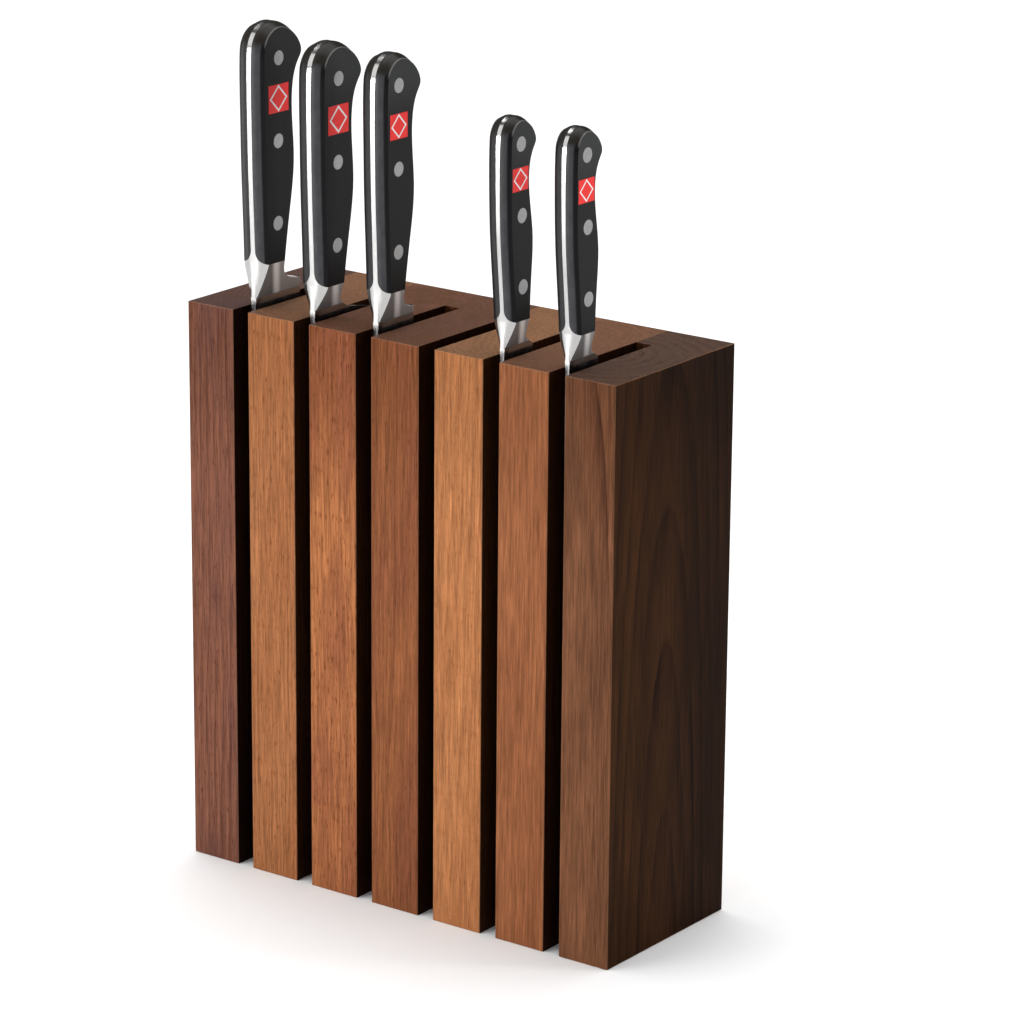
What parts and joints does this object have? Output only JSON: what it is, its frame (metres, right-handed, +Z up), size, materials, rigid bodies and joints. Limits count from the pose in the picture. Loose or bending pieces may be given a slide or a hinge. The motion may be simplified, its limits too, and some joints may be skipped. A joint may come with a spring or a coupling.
{
  "type": "knife block with knives",
  "caption": "Upright block of glued wooden boards with open-fronted slots, holding forged full-tang kitchen knives that lift straight out.",
  "frame": {"origin": "centre of the block's underside, on the surface it stands on", "axes": "+X along the row of boards, towards the side that the handles' badges face; +Y from the slots' open front to the block's closed back; +Z up"},
  "size_m": [0.233, 0.089, 0.3888],
  "materials": {
    "wood_umber": "oiled, satin",
    "wood_amber": "oiled, satin",
    "wood_russet": "oiled, satin",
    "wood_maroon": "oiled, satin",
    "wood_honey": "oiled, satin",
    "wood_tan": "oiled, satin",
    "wood_walnut": "oiled, satin",
    "blade_steel": "satin, polished at the bolster",
    "handle_black": "satin moulded",
    "rivet_metal": "ground flush, satin",
    "badge_red": "glossy enamel"
  },
  "bodies": {
    "block": {"board_1": "wood_umber", "board_2": "wood_amber", "board_3": "wood_russet", "board_4": "wood_maroon", "board_5": "wood_honey", "board_6": "wood_tan", "board_7": "wood_walnut"},
    "bread_knife": {"bread_blade": "blade_steel", "bread_scale_left": "handle_black", "bread_scale_right": "handle_black", "bread_rivets": "rivet_metal", "bread_badge": "badge_red"},
    "chef_knife": {"chef_blade": "blade_steel", "chef_scale_left": "handle_black", "chef_scale_right": "handle_black", "chef_rivets": "rivet_metal", "chef_badge": "badge_red"},
    "carving_knife": {"carving_blade": "blade_steel", "carving_scale_left": "handle_black", "carving_scale_right": "handle_black", "carving_rivets": "rivet_metal", "carving_badge": "badge_red"},
    "utility_knife": {"utility_blade": "blade_steel", "utility_scale_left": "handle_black", "utility_scale_right": "handle_black", "utility_rivets": "rivet_metal", "utility_badge": "badge_red"},
    "paring_knife": {"paring_blade": "blade_steel", "paring_scale_left": "handle_black", "paring_scale_right": "handle_black", "paring_rivets": "rivet_metal", "paring_badge": "badge_red"}
  },
  "joints": [
    {"name": "bread_lift", "type": "slide", "parent": "block", "child": "bread_knife", "axis": [0, 0, 1], "range_m": [0, 0.25]},
    {"name": "chef_lift", "type": "slide", "parent": "block", "child": "chef_knife", "axis": [0, 0, 1], "range_m": [0, 0.22]},
    {"name": "carving_lift", "type": "slide", "parent": "block", "child": "carving_knife", "axis": [0, 0, 1], "range_m": [0, 0.22]},
    {"name": "utility_lift", "type": "slide", "parent": "block", "child": "utility_knife", "axis": [0, 0, 1], "range_m": [0, 0.14]},
    {"name": "paring_lift", "type": "slide", "parent": "block", "child": "paring_knife", "axis": [0, 0, 1], "range_m": [0, 0.11]}
  ]
}
